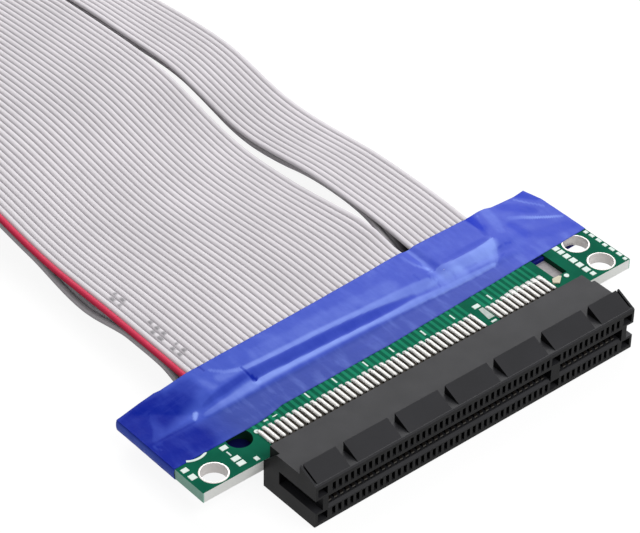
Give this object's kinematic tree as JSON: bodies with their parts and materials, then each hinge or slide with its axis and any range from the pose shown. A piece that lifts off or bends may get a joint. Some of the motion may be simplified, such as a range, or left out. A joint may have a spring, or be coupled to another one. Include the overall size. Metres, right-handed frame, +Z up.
{
  "type": "card slot extension cable",
  "caption": "Flat ribbon cable that extends an expansion card slot: a slot connector on a small taped board at one end, an edge plug at the other.",
  "frame": {"origin": "centre of the slot housing's underside, on the table", "axes": "+X along the slot towards its power contacts, +Y from the slot's mouth towards the cable, +Z up"},
  "size_m": [0.076, 0.295, 0.0083],
  "materials": {
    "housing_plastic": "moulded black, fine grain",
    "contact_alloy": "plated, tinned at the feet",
    "board_laminate": "green solder mask",
    "tape_film": "semi-gloss translucent blue film",
    "tinned_wire": "tinned",
    "ribbon_jacket": "pale grey, ribbed",
    "finger_gold": "gold plated"
  },
  "bodies": {
    "root": {"slot_housing": "housing_plastic", "upper_signal_contacts": "contact_alloy", "lower_signal_contacts": "contact_alloy", "upper_power_contacts": "contact_alloy", "lower_power_contacts": "contact_alloy", "socket_board": "board_laminate", "socket_tape": "tape_film", "upper_signal_wire_ends": "tinned_wire", "lower_signal_wire_ends": "tinned_wire", "upper_power_wire_ends": "tinned_wire", "lower_power_wire_ends": "tinned_wire", "upper_signal_ribbon": "ribbon_jacket", "lower_signal_ribbon": "ribbon_jacket", "upper_power_ribbon": "ribbon_jacket", "lower_power_ribbon": "ribbon_jacket", "plug_board": "board_laminate", "plug_tape": "tape_film", "plug_upper_signal_fingers": "finger_gold", "plug_lower_signal_fingers": "finger_gold", "plug_upper_power_fingers": "finger_gold", "plug_lower_power_fingers": "finger_gold"}
  },
  "joints": []
}
